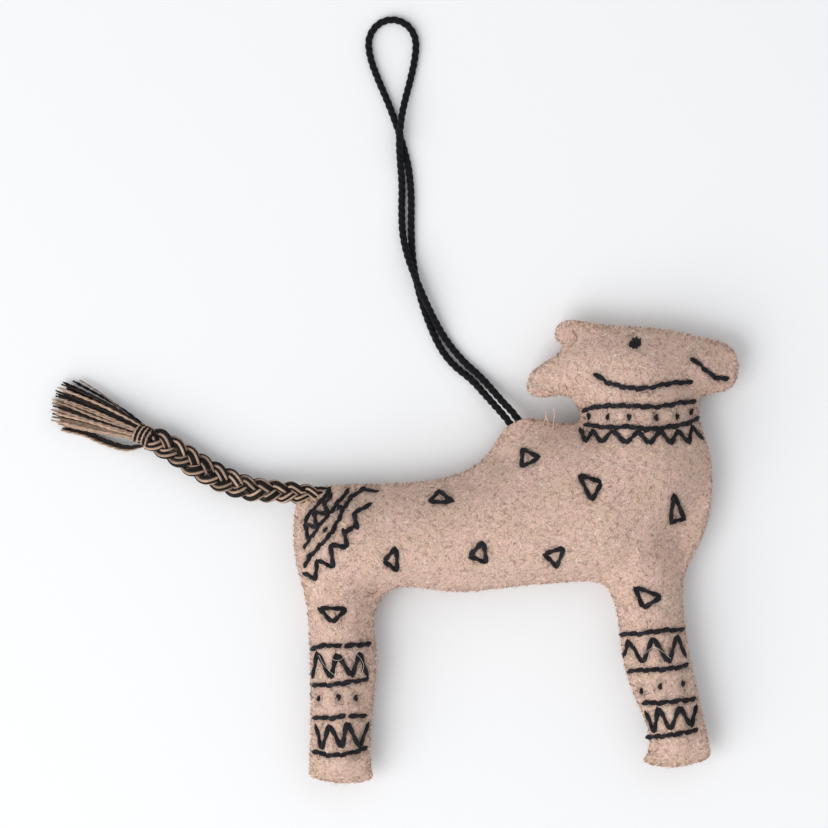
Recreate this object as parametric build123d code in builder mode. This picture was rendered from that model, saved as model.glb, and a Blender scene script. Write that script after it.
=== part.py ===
from build123d import *

import math
import os

os.makedirs("parts", exist_ok=True)

# A small stuffed felt animal on a hanging cord, lying on its side on a table.
# +Z points up out of the table, +X to the muzzle, +Y to the crown of the head.
# The origin is on the table, under the middle of the felt body.

# Driving dimensions, millimetres
seam_height = 3.6  # the seam plane, above the table
felt_thickness = 1.0
back_lift = 1.4  # the side that is lain on is this much flatter than the front
table_felt = 0.9  # felt left under the stuffing where the body rests on the table
puff_samples = 40  # places tried along each roll when a stitch looks for the felt's face
layer_gap = 0.04  # air between the stuffing and the felt

floss_radius = 0.45  # one embroidery stitch at its middle
floss_tip_radius = 0.15
floss_sides = 8
floss_depth = 0.1  # a stitch's axis under the felt's surface
line_stitch = 2.2  # length of one stitch in an embroidered line
stitch_gap = 0.3  # felt left free at each end of a stitch in a line
corner_gap = 0.8  # and of one that meets the next at a sharp corner
dot_length = 1.1

whip_pitch = 1.6  # from one overcast stitch of the seam to the next
whip_radius = 1.22  # its bend around the edge
whip_thread_radius = 0.28
whip_inset = 0.7  # centre of that bend, inside the edge
whip_sweep = 250  # degrees
whip_clearance = 0.75  # between neighbours in an inner corner

cord_diameter = 1.1
cord_floor = cord_diameter / 2 + 0.05
cord_spacing = 1.4  # between the two legs of the loop, where they leave the seam
anchor_depth = 3  # from the edge in to the cord's knot
anchor_knot_radius = 1.2

strand_radius = 0.62  # one of the tail's three strands
braid_half_width = 1.1
braid_half_height = 0.92
braid_pitch = 7.8
braid_steps = 6  # path points for each pitch
tail_stub_radius = 1.1
binding_radius = 1.75
binding_thread_radius = 0.3
binding_turns = 4
binding_length = 2 * binding_turns * (binding_thread_radius + 0.04)
yarn_radius = 0.27  # one cut yarn of the tassel
yarn_spacing = 0.58
yarn_spread = 3  # how much further apart the yarns are at their tips
yarn_reach = 15
yarn_unevenness = 1.2
yarn_floor = 0.4

# The felt's outline, clockwise from the throat: each stretch ends in a corner
outline = {
    "muzzle_and_crown": [(29.5, 24.5), (31.5, 25.1), (34.5, 26), (35.8, 29), (34.6, 32.8), (30, 34.5),
                         (22, 36), (15, 36.4), (10, 37.1), (7.5, 37), (6.1, 35.4), (7.5, 32.9)],
    "lower_ear": [(7.5, 32.9), (4.5, 30.4), (2, 28.2), (1.9, 25.4), (4.6, 24.5), (8, 24.7),
                  (9.6, 23.2), (10, 20.8)],
    "hump_back_and_rump": [(10, 20.8), (5.5, 21), (1, 21.3), (-2, 19.6), (-4, 16.5), (-7.5, 13.4),
                           (-14, 11.6), (-23.5, 11), (-31.5, 10.4), (-34.5, 9), (-35.7, 5),
                           (-35.6, -0.5), (-34, -7), (-33.3, -14), (-33.1, -24), (-33.2, -36)],
    "hind_sole": [(-33.2, -36), (-28.2, -37.3), (-22.7, -36.5)],
    "belly": [(-22.7, -36.5), (-22.9, -27), (-22.1, -16), (-21.9, -8.6), (-20.5, -6.8), (-12.2, -6.5),
              (-2.6, -6.1), (10.2, -5), (14, -5.6), (15.4, -7.8), (16.6, -15), (18.7, -23),
              (21, -32), (20, -33.7)],
    "fore_sole": [(20, -33.7), (24.3, -34.7), (31.4, -32.9)],
    "chest": [(31.4, -32.9), (30.4, -27.3), (28.5, -19), (27.1, -10.2), (27.2, -3.8), (29.8, 1.8),
              (31.5, 9), (31, 16.5), (29.6, 21.3), (29.5, 24.5)],
}

# The stuffing as tapered rolls: start, end, and the radius at each
stuffing_rolls = {
    "rump": [(-27, 1.8), (-8, 3.4), 7, 7.6],
    "belly": [(-8, 3.4), (13, 7), 7.6, 9.6],
    "chest": [(13, 7), (20, 14), 9.6, 8.6],
    "hump": [(5, 13), (12, 12), 5.6, 8],
    "neck": [(20, 14), (20.5, 28), 8.6, 6.6],
    "head": [(20, 30), (30.5, 29.6), 4.9, 3.4],
    "ear": [(14, 29.5), (5.6, 27.6), 4.4, 1.6],
    "hind_leg": [(-28, -31.5), (-27.8, 0), 3.9, 4.8],
    "foreleg": [(25.6, -28.5), (20.6, -3), 3.6, 5],
}

# Embroidered lines, as rows of short stitches
line_groups = {
    "jaw_line": [
        [(12.5, 28.5), (13.2, 27.6), (14.5, 27), (16.5, 26.4), (20, 26), (23, 26.6), (25.5, 27), (28, 27)],
    ],
    "muzzle_line": [[(27.8, 31), (29, 30), (30.5, 28.8), (31.7, 27.8), (33.8, 27.5)]],
    "collar_top_line": [
        [(10.7, 22.6), (12.5, 23.1), (15, 23.3), (19.5, 23.2), (22.5, 23.1), (26, 23.8), (28.5, 23.9)],
    ],
    "collar_low_line": [
        [(11, 20.4), (13, 20), (15, 19.8), (17, 20.1), (20, 19.6), (24.5, 20), (27, 20.4), (29, 21.2)],
    ],
    "rump_lines": [
        [(-29.6, 10), (-31, 8.2), (-32.5, 6.6), (-33.8, 4.8)],
        [(-26.7, 9.8), (-28, 8.4), (-29.3, 6.6), (-31, 4.7), (-32.6, 2.4), (-33.9, 0.7)],
        [(-22.1, 9.5), (-23.6, 10), (-25, 9.8), (-26.2, 8.8), (-27.5, 7), (-29, 3.7), (-31.7, 0.6),
         (-33.8, -2.2)],
    ],
    "hind_band_lines": [
        [(-32.6, -15.4), (-31, -15), (-29.5, -14.7), (-27.8, -15)],
        [(-27.4, -14.9), (-25.5, -14.8), (-23.4, -14.8)],
        [(-32.3, -21.2), (-29.8, -21.2), (-27.7, -20.9), (-23.7, -20.4)],
        [(-32.3, -26.4), (-29.8, -26.5), (-27.2, -26.1)],
        [(-26.8, -26), (-25.5, -25.9), (-24, -26.3)],
        [(-32.3, -31.8), (-31, -32.3), (-29, -32.4), (-26.6, -32.1), (-23.9, -31.4)],
    ],
    "fore_band_lines": [
        [(16.9, -13.1), (18.3, -13.2), (20.2, -12.9), (22.2, -12.6), (26.7, -12.5)],
        [(18, -19), (20.6, -18.8), (25.4, -18.5), (27.4, -18.1)],
        [(20.4, -24), (22.2, -24.1), (24.3, -23.9), (28.5, -23.6)],
        [(21.1, -29.6), (23.4, -29.4), (25.6, -29), (28.9, -28.5)],
    ],
}

# Zigzags and triangles, one long stitch to each side
zigzag_groups = {
    "collar_zigzag": [
        [(10.3, 19.4), (11, 17.6), (12.2, 19.3), (13.5, 17.4), (15.2, 19.4), (17.3, 17.3), (19.2, 19.3),
         (21, 17.2), (22.8, 19.4), (24.5, 17.2), (25.6, 19.4), (27.5, 17.3), (27.9, 20), (29.6, 18.2)],
    ],
    "body_triangles": [
        [(1, 16.4), (0.8, 13.5), (3.7, 15.1), (1, 16.4)],
        [(9.8, 12.4), (13.4, 11.2), (11.8, 8.2), (9.8, 12.4)],
        [(24.9, 9.3), (24.5, 4.7), (26.9, 5.3), (24.9, 9.3)],
        [(-5.3, 1.8), (-7.6, -0.6), (-4.8, -1.6), (-5.3, 1.8)],
        [(4.3, -0.2), (7.5, 0.8), (6.4, -2.3), (4.3, -0.2)],
        [(-13.9, 8), (-12.3, 9.7), (-10, 8), (-13.9, 8)],
        [(-19.1, 0.9), (-21.1, -1.4), (-19, -2.9), (-19.1, 0.9)],
        [(-31.5, -8.9), (-27, -9), (-29.3, -11.2), (-31.5, -8.9)],
        [(18.8, -5.5), (23.1, -7.1), (20.2, -8.9), (18.8, -5.5)],
    ],
    "rump_zigzags": [
        [(-28.9, 8.9), (-30.8, 8.2), (-29.9, 6.1), (-32.3, 6.3), (-31.7, 4), (-33.6, 4.3), (-33.1, 2.1)],
        [(-23, 7.7), (-25.8, 6.3), (-25.3, 3.6), (-27.5, 3.9), (-26.9, 0.8), (-29.6, 1.3), (-29.1, -2.4),
         (-31.7, -1.2), (-32, -4.3), (-33.6, -3.5)],
    ],
    "hind_band_zigzags": [
        [(-32.5, -20.4), (-31.7, -15.8), (-29.6, -20.3), (-28.6, -16), (-26.2, -20), (-25, -15.9),
         (-23.7, -20)],
        [(-32, -27.5), (-31, -31.6), (-29.8, -27.4), (-27.8, -31.4), (-27, -26.9), (-25, -31.4),
         (-23.6, -27.2)],
    ],
    "fore_band_zigzags": [
        [(17.3, -16.8), (17.9, -14), (20.2, -17.8), (21.7, -13.4), (24.3, -17.8), (25.6, -13.2),
         (27.1, -16.9)],
        [(20.7, -25.4), (22.1, -29), (22.6, -24.6), (24.6, -28.5), (26, -24.4), (27.9, -28), (28.8, -24.4)],
    ],
}

# Single small stitches: where each one is, and the way it points in degrees
dot_groups = {
    "collar_dots": [
        (11.6, 21.6, 90), (14.5, 21.5, 80), (17.8, 21.5, 95), (22.1, 21.4, 85), (25.5, 21.6, 90),
        (27.9, 22.3, 60),
    ],
    "rump_dots": [(-28.2, 7.1, 50), (-30.4, 3.6, 50), (-33, -0.5, 50)],
    "hind_dots": [(-31.5, -23.4, 80), (-28.3, -23.1, 100), (-25.6, -23.3, 90)],
    "fore_dots": [(20, -22.2, 90), (22.9, -21.4, 80), (26.6, -21, 95)],
}

# The eye: three satin stitches side by side, each as its middle and its half length
eye_stitches = [(18.3, 33.2, 0.8), (18.9, 33.2, 1.2), (19.5, 33.2, 0.8)]

# Where the cord and the tail leave the seam
hanger_exit = Vector(-0.4, 21, seam_height)
hanger_way = Vector(-0.62, 0.78, 0).normalized()
tail_root = Vector(-31.8, 8.6, seam_height)
tail_exit = Vector(-35, 9.4, seam_height)
tail_pivot = Vector(-36.6, 9.6, seam_height)
tassel_way = Vector(-0.93, 0.36, 0)

# The hanging cord: up one leg from the seam, round the eye of the loop and down the other,
# which passes over the first leg twice
hanger_route = [
    (-1.7, 21.5, 3.3), (-3.2, 23.2, 2.5), (-5, 25.2, 1.3), (-7.1, 27.6, cord_floor),
    (-9.9, 29.7, cord_floor), (-12.1, 32.5, cord_floor), (-13.9, 36.5, cord_floor),
    (-15.5, 41.3, cord_floor), (-16.5, 46.3, cord_floor), (-16.8, 51.5, cord_floor),
    (-16.7, 56.8, cord_floor), (-17.1, 61.5, cord_floor), (-18.2, 65.6, cord_floor),
    (-19.3, 69, cord_floor), (-20.7, 72.6, cord_floor), (-22.2, 76, cord_floor),
    (-23.4, 79.3, cord_floor), (-23.7, 82.3, cord_floor), (-22.3, 84.6, cord_floor),
    (-19.8, 85.5, cord_floor), (-17.3, 84.6, cord_floor), (-15.9, 82.3, cord_floor),
    (-16.1, 79.1, cord_floor), (-16.9, 75.5, cord_floor), (-17.8, 72.2, 1.2), (-18.4, 69.2, 1.85),
    (-18.7, 65.8, 1.85), (-18.5, 62.4, 1.1), (-18.2, 58.8, cord_floor), (-18.3, 54.8, cord_floor),
    (-18.2, 51, 0.9), (-17.4, 47.4, 1.6), (-16.3, 44.4, 1.85), (-14.9, 41, 1.85),
    (-13.1, 37.2, 1.3), (-11.1, 33.7, cord_floor), (-8.4, 30.4, cord_floor), (-5.8, 28.2, 0.9),
    (-3.6, 25.7, 1.6), (-1.8, 23.6, 2.6), (-0.6, 22.4, 3.3),
]

# The tail's middle line, from just outside the rump to the binding
tail_route = [
    (-38.2, 9.6, 3.2), (-42, 9.8, 2.4), (-46, 11, 2.1), (-50.3, 13.2, 2.1), (-54.6, 16.1, 2.1),
    (-58.6, 18.5, 2.2),
]


def bend_radii(route):
    """The largest smooth radius at each inner corner of a route."""
    radii = []
    for before, corner, after in zip(route, route[1:], route[2:]):
        arriving = Vector(corner) - Vector(before)
        leaving = Vector(after) - Vector(corner)
        half_turn = math.radians(arriving.get_angle(leaving)) / 2
        radii.append(0.45 * min(arriving.length, leaving.length) / math.tan(half_turn))
    return radii


def tube(route, radius):
    """A round cord along straight runs joined by tangent arcs."""
    with BuildPart() as cord:
        with BuildLine():
            path = FilletPolyline(*route, radius=bend_radii(route))
        with BuildSketch(Plane(origin=path @ 0, z_dir=path % 0)):
            Circle(radius)
        sweep()
    return cord.part


def write(part, name):
    """Label a finished piece and write it under its own name."""
    part.label = name
    export_step(part, f"parts/{name}.step")


def roll(start, end, start_radius, end_radius):
    """A tapered roll with round ends, its middle line in the XY plane."""
    length = math.dist(start, end)
    lean = math.asin((start_radius - end_radius) / length)
    near = (start_radius * math.sin(lean), start_radius * math.cos(lean))
    far = (length + end_radius * math.sin(lean), end_radius * math.cos(lean))
    near_half = (math.pi / 2 + lean) / 2
    far_half = (math.pi / 2 - lean) / 2
    way = Vector(end[0] - start[0], end[1] - start[1], 0)
    with BuildPart() as solid:
        with BuildSketch(Plane(origin=(start[0], start[1], 0), x_dir=way, z_dir=(0, 0, 1))):
            with BuildLine():
                ThreePointArc(
                    (-start_radius, 0),
                    (-start_radius * math.cos(near_half), start_radius * math.sin(near_half)),
                    near,
                )
                Line(near, far)
                ThreePointArc(
                    far,
                    (length + end_radius * math.cos(far_half), end_radius * math.sin(far_half)),
                    (length + end_radius, 0),
                )
                Line((length + end_radius, 0), (-start_radius, 0))
            make_face()
        revolve(axis=Axis((start[0], start[1], 0), way))
    return solid.part


def rolls(extra):
    """Every roll of stuffing, thicker by the felt or thinner by the air gap."""
    return [
        roll(start, end, near + extra, far + extra)
        for start, end, near, far in stuffing_rolls.values()
    ]


def puff_at(x, y, extra, lift):
    """Height of the rolls above the seam plane at one place, with their middle lines lowered."""
    height = 0
    for start, end, near, far in stuffing_rolls.values():
        for step in range(puff_samples + 1):
            t = step / puff_samples
            middle = (start[0] + t * (end[0] - start[0]), start[1] + t * (end[1] - start[1]))
            away = math.dist((x, y), middle)
            radius = near + t * (far - near) + extra
            if away < radius:
                height = max(height, math.sqrt(radius**2 - away**2) - lift)
    return height


def front_surface(x, y):
    """Height of the front felt's face above the table."""
    return seam_height + max(felt_thickness, puff_at(x, y, felt_thickness, 0))


def back_surface(x, y):
    """Height of the back felt's face above the table."""
    return max(0, seam_height - max(felt_thickness, puff_at(x, y, felt_thickness, back_lift)))


def spindle(length):
    """One stitch along X: full in the middle, thin where it dives into the felt."""
    taper = math.degrees(math.atan(2 * (floss_radius - floss_tip_radius) / length))
    with BuildPart() as solid:
        with BuildSketch(Plane.YZ):
            RegularPolygon(floss_radius, floss_sides)
        extrude(amount=length / 2, both=True, taper=taper)
    return solid.part


def laid_stitch(start, end, gap, side):
    """A stitch on the front or the back felt, between two points seen from above."""
    middle = ((start[0] + end[0]) / 2, (start[1] + end[1]) / 2)
    if side == "front":
        rise = front_surface(*end) - front_surface(*start)
        chord = (front_surface(*end) + front_surface(*start)) / 2
        axis_height = max(front_surface(*middle), chord) - floss_depth
    else:
        rise = back_surface(*end) - back_surface(*start)
        chord = (back_surface(*end) + back_surface(*start)) / 2
        axis_height = min(back_surface(*middle), chord) + floss_depth
        if axis_height - abs(rise) / 2 < floss_radius:
            axis_height = floss_radius + layer_gap
            rise = 0
    way = Vector(end[0] - start[0], end[1] - start[1], rise)
    place = Plane(origin=(middle[0], middle[1], axis_height), x_dir=way, z_dir=way.cross(Vector(0, 0, 1)))
    return place * spindle(max(way.length - 2 * gap, dot_length / 2))


def row_of_stitches(points):
    """Start and end of each stitch along a bending line."""
    with BuildLine():
        line = Spline(*points)
    count = max(1, round(line.length / line_stitch))
    marks = [line @ (index / count) for index in range(count + 1)]
    return [((here.X, here.Y), (there.X, there.Y)) for here, there in zip(marks, marks[1:])]


# Felt outline
with BuildSketch(Plane.XY.offset(seam_height)) as felt_shape:
    with BuildLine():
        for stretch in outline.values():
            Spline(*stretch)
    make_face()
felt_face = felt_shape.sketch.faces()[0]
felt_edge = felt_face.outer_wire()

felt_rolls = rolls(felt_thickness)
inner_rolls = rolls(0)
fill_rolls = rolls(-layer_gap)
reach = 15  # higher than any piece

# Front panel: a flat flange of felt along the seam, puffed up over the stuffing
with BuildPart() as front_panel:
    with Locations((0, 0, seam_height)):
        add(felt_rolls)
    with BuildSketch(Plane.XY.offset(seam_height)):
        add(felt_face)
    extrude(amount=reach, mode=Mode.INTERSECT)
    with BuildSketch(Plane.XY.offset(seam_height)):
        add(felt_face)
    extrude(amount=felt_thickness)
    with Locations((0, 0, seam_height)):
        add(inner_rolls, mode=Mode.SUBTRACT)
write(front_panel.part, "front_panel")

# The hollow of the back panel
with BuildPart() as back_hollow:
    with Locations((0, 0, seam_height + back_lift)):
        add(inner_rolls)
    with BuildSketch(Plane.XY.offset(table_felt)):
        Rectangle(6 * reach, 6 * reach)
    extrude(amount=seam_height - table_felt, mode=Mode.INTERSECT)

# Back panel: the same felt shape, pressed flat where it lies on the table
with BuildPart() as back_panel:
    with Locations((0, 0, seam_height + back_lift)):
        add(felt_rolls)
    with BuildSketch(Plane.XY):
        add(Plane.XY.offset(-seam_height) * felt_face)
    extrude(amount=seam_height, mode=Mode.INTERSECT)
    with BuildSketch(Plane.XY.offset(seam_height)):
        add(felt_face)
    extrude(amount=-felt_thickness)
    add(back_hollow.part, mode=Mode.SUBTRACT)
write(back_panel.part, "back_panel")

# Stuffing: one soft body that fills both hollows
with BuildPart() as stuffing_top:
    with Locations((0, 0, seam_height)):
        add(fill_rolls)
    with BuildSketch(Plane.XY.offset(seam_height + layer_gap)):
        Rectangle(6 * reach, 6 * reach)
    extrude(amount=reach, mode=Mode.INTERSECT)
with BuildPart() as stuffing:
    with Locations((0, 0, seam_height + back_lift)):
        add(fill_rolls)
    with BuildSketch(Plane.XY.offset(table_felt + layer_gap)):
        Rectangle(6 * reach, 6 * reach)
    extrude(amount=seam_height - table_felt, mode=Mode.INTERSECT)
    add(stuffing_top.part)
write(stuffing.part, "stuffing")

# Seam thread: overcast stitches that wrap the edge all the way round
with BuildPart() as whip_stitch:
    with BuildLine(Plane.XZ):
        bend = CenterArc((-whip_inset, 0), whip_radius, -whip_sweep / 2, whip_sweep)
    with BuildSketch(Plane(origin=bend @ 0, z_dir=bend % 0)):
        Circle(whip_thread_radius)
    sweep()

whip_places = []
whip_crests = []
whip_count = round(felt_edge.length / whip_pitch)
for index in range(whip_count):
    share = (index + 0.5) / whip_count
    spot = felt_edge.position_at(share)
    outward = felt_edge.tangent_at(share).cross(Vector(0, 0, 1))
    if felt_face.is_inside(spot + outward * whip_thread_radius):
        outward = -outward
    crest = spot + outward * (whip_radius - whip_inset)
    crowded = any((crest - other).length < whip_clearance for other in whip_crests)
    at_cord = (spot - hanger_exit).length < 2 * cord_spacing
    at_tail = (spot - tail_exit).length < 2.5 * tail_stub_radius
    if crowded or at_cord or at_tail or felt_face.is_inside(crest):
        continue
    whip_crests.append(crest)
    whip_places.append(Plane(origin=spot, x_dir=outward, z_dir=(0, 0, 1)))
with BuildPart() as seam_thread:
    with Locations(*whip_places):
        add(whip_stitch.part)
write(seam_thread.part, "seam_thread")

# Embroidery, the same on both sides
stitch_groups = {"eye": [((x, y - half), (x, y + half), stitch_gap) for x, y, half in eye_stitches]}
for group, lines in line_groups.items():
    stitch_groups[group] = [(*ends, stitch_gap) for line in lines for ends in row_of_stitches(line)]
for group, zigzags in zigzag_groups.items():
    stitch_groups[group] = [(*ends, corner_gap) for zigzag in zigzags for ends in zip(zigzag, zigzag[1:])]
for group, dots in dot_groups.items():
    stitch_groups[group] = []
    for x, y, heading in dots:
        reach_x = (dot_length / 2 + stitch_gap) * math.cos(math.radians(heading))
        reach_y = (dot_length / 2 + stitch_gap) * math.sin(math.radians(heading))
        ends = ((x - reach_x, y - reach_y), (x + reach_x, y + reach_y))
        stitch_groups[group].append((*ends, stitch_gap))

for side in ("front", "back"):
    for group, stitches in stitch_groups.items():
        laid = [laid_stitch(start, end, gap, side) for start, end, gap in stitches]
        with BuildPart() as threads:
            add(laid)
        write(threads.part, f"{side}_{group}")

# Hanging cord, and the knot that holds its two ends between the felts
hanging_cord = tube(hanger_route, cord_diameter / 2)
write(hanging_cord, "hanging_cord")

across = hanger_way.cross(Vector(0, 0, 1)) * (cord_spacing / 2)
knot_place = hanger_exit - hanger_way * anchor_depth
with BuildPart() as cord_anchor:
    for leg in (across, -across):
        with BuildSketch(Plane(origin=hanger_exit + leg, z_dir=-hanger_way)):
            Circle(cord_diameter / 2)
        extrude(amount=anchor_depth)
    with Locations(knot_place):
        Sphere(anchor_knot_radius)
write(cord_anchor.part, "cord_anchor")

# Tail: three strands braided round one middle line
with BuildLine():
    tail_line = FilletPolyline(*tail_route, radius=bend_radii(tail_route))
tail_length = tail_line.length
point_count = round(tail_length / braid_pitch * braid_steps)
for strand in range(3):
    strand_route = []
    for index in range(point_count + 1):
        share = index / point_count
        phase = 2 * math.pi * (share * tail_length / braid_pitch + strand / 3)
        forward = tail_line % share
        sideways = forward.cross(Vector(0, 0, 1)).normalized()
        upward = sideways.cross(forward)
        offset = sideways * (braid_half_width * math.sin(phase))
        offset += upward * (braid_half_height * math.sin(2 * phase))
        strand_route.append(tuple((tail_line @ share) + offset))
    write(tube(strand_route, strand_radius), f"tail_strand_{strand + 1}")

# The stub of the tail that is sewn into the rump
with BuildPart() as tail_anchor:
    stub = tail_pivot - tail_root
    with BuildSketch(Plane(origin=tail_root, z_dir=stub)):
        Circle(tail_stub_radius)
    extrude(amount=stub.length)
    with Locations(tail_pivot, tail_root):
        Sphere(tail_stub_radius)
write(tail_anchor.part, "tail_anchor")

# Binding: a few turns of thread round the end of the braid
tail_end = tail_line @ 1
tail_way = (tail_line % 1).normalized()
with BuildPart() as tail_binding:
    for turn in range(binding_turns):
        along = (turn + 0.5) * binding_length / binding_turns
        with Locations(Plane(origin=tail_end + tail_way * along, z_dir=tail_way)):
            Torus(binding_radius, binding_thread_radius)
write(tail_binding.part, "tail_binding")

# Tassel: cut yarns that start inside the binding and fan out over the table
tail_side = tail_way.cross(Vector(0, 0, 1)).normalized()
yarn_places = [(0, 0)]
for ring, count in enumerate((6, 12), start=1):
    for index in range(count):
        angle = 2 * math.pi * index / count
        yarn_places.append((ring * yarn_spacing * math.cos(angle), ring * yarn_spacing * math.sin(angle)))
yarns = {"tassel_black_yarns": [], "tassel_beige_yarns": []}
for index, (sideways, height) in enumerate(yarn_places):
    root = tail_end + tail_side * sideways + Vector(0, 0, height)
    yarn_length = yarn_reach + yarn_unevenness * math.sin(2.4 * index)
    tip = root + tassel_way * yarn_length + tail_side * (sideways * yarn_spread)
    tip = Vector(tip.X, tip.Y, yarn_floor + height + 2 * yarn_spacing)
    leaving = root + tail_way * binding_length
    shoulder = leaving * 0.5 + tip * 0.5 + tail_side * (0.2 * sideways) + Vector(0, 0, 0.1)
    color = "tassel_black_yarns" if index % 2 else "tassel_beige_yarns"
    yarns[color].append(tube([root, leaving, shoulder, tip], yarn_radius))
for name, pieces in yarns.items():
    with BuildPart() as tassel:
        add(pieces)
    write(tassel.part, name)

cord_length = hanging_cord.volume / (math.pi * (cord_diameter / 2) ** 2)
print("hanging cord bend radii", [round(radius, 1) for radius in bend_radii(hanger_route)])
print("hanging cord length", round(cord_length, 1))
print("tail bend radii", [round(radius, 1) for radius in bend_radii(tail_route)])
print("tail length outside the seam", round(tail_length, 1))
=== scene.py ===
import math
import random

import bpy
import numpy as np
from mathutils import Matrix, Vector, geometry, kdtree
from mathutils.bvhtree import BVHTree


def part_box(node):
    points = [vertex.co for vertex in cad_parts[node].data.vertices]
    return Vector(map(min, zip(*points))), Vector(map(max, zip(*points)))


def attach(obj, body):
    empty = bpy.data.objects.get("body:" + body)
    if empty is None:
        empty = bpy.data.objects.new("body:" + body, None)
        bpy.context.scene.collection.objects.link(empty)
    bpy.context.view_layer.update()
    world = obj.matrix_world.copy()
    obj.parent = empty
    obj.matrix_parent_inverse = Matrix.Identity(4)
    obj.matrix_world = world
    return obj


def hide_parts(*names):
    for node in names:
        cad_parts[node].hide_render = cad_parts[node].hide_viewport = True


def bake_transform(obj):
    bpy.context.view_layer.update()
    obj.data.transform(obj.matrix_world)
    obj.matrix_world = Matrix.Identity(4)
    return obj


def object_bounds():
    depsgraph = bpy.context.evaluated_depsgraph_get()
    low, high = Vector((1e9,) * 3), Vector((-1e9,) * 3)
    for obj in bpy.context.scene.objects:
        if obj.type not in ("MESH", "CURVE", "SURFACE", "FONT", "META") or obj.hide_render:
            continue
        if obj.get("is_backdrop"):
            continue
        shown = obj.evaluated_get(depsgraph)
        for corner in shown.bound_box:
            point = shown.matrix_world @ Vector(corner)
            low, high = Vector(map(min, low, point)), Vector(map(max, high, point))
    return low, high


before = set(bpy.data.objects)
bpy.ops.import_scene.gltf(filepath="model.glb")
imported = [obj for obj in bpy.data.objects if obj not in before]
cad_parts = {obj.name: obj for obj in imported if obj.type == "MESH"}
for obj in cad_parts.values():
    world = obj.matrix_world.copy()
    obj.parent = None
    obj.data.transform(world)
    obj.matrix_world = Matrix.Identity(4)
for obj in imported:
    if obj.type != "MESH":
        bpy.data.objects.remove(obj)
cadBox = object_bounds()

mm = 0.001
random.seed(11)
dice = np.random.default_rng(11)
scene = bpy.context.scene


# stage: camera straight above, soft light from the lower left, pale table
stage = {
    "aim": (-16.3, 22.0, 3.6), "viewWidth": 132.5, "lens": 250, "sensor": 36,
    "tableSize": 6.0, "tableTone": (0.9, 0.905, 0.91),
    "keyPlace": (-0.6, -0.48, 0.68), "keySize": 1.0, "keyPower": 9.0,
    "fillPlace": (0.7, 0.6, 0.8), "fillSize": 1.0, "fillPower": 0.9,
    "skyTone": (0.96, 0.975, 1.0), "skyStrength": 0.6,
}


def deselectAll():
    bpy.ops.object.select_all(action="DESELECT")


def newObject(name, data):
    made = bpy.data.objects.new(name, data)
    scene.collection.objects.link(made)
    return made


def aimAt(obj, target):
    obj.rotation_euler = (Vector(target) - obj.location).to_track_quat("-Z", "Y").to_euler()


def addSoftLight(name, place, size, power):
    bpy.ops.object.light_add(type="AREA", location=place)
    light = bpy.context.object
    light.name = name
    light.data.energy = power
    light.data.size = size
    aimAt(light, (-0.01, 0.01, 0))
    deselectAll()


deselectAll()
aim = Vector(stage["aim"]) * mm
cameraData = bpy.data.cameras.new("camera")
cameraData.lens = stage["lens"]
cameraData.sensor_width = stage["sensor"]
cameraData.clip_start = 0.01
camera = newObject("camera", cameraData)
camera.location = aim + Vector((0, 0, stage["viewWidth"] * mm * stage["lens"] / stage["sensor"]))
scene.camera = camera
addSoftLight("keyLight", stage["keyPlace"], stage["keySize"], stage["keyPower"])
addSoftLight("fillLight", stage["fillPlace"], stage["fillSize"], stage["fillPower"])
world = bpy.data.worlds.new("softRoom")
world.use_nodes = True
world.node_tree.nodes["Background"].inputs["Color"].default_value = (*stage["skyTone"], 1)
world.node_tree.nodes["Background"].inputs["Strength"].default_value = stage["skyStrength"]
scene.world = world
scene.view_settings.view_transform = "Standard"
print("stage set")


# shader groups and materials
def tint(red, green, blue):
    # a screen colour, 0 to 255, as the shader's linear one
    return tuple((c / 255 / 12.92) if c <= 10 else ((c / 255 + 0.055) / 1.055) ** 2.4
                 for c in (red, green, blue)) + (1,)


def newGroup(name, inputs, outputs):
    group = bpy.data.node_groups.new(name, "ShaderNodeTree")
    for label, kind, value in inputs:
        socket = group.interface.new_socket(name=label, in_out="INPUT", socket_type=kind)
        if value is not None:
            socket.default_value = value
    for label, kind in outputs:
        group.interface.new_socket(name=label, in_out="OUTPUT", socket_type=kind)
    return group, group.nodes.new("NodeGroupInput"), group.nodes.new("NodeGroupOutput")


def wire(tree, kind, links=(), **values):
    # a node with its inputs wired or set
    node = tree.nodes.new(kind)
    for key, value in values.items():
        if hasattr(node, key):
            setattr(node, key, value)
        else:
            node.inputs[key.replace("_", " ")].default_value = value
    for socket, source in links:
        tree.links.new(source, node.inputs[socket])
    return node


def noise(tree, place, **values):
    return wire(tree, "ShaderNodeTexNoise", [("Vector", place)], **values).outputs["Fac"]


def calc(tree, operation, one, other=None):
    node = wire(tree, "ShaderNodeMath", [(0, one)], operation=operation)
    if isinstance(other, (int, float)):
        node.inputs[1].default_value = other
    elif other is not None:
        tree.links.new(other, node.inputs[1])
    return node.outputs[0]


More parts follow.
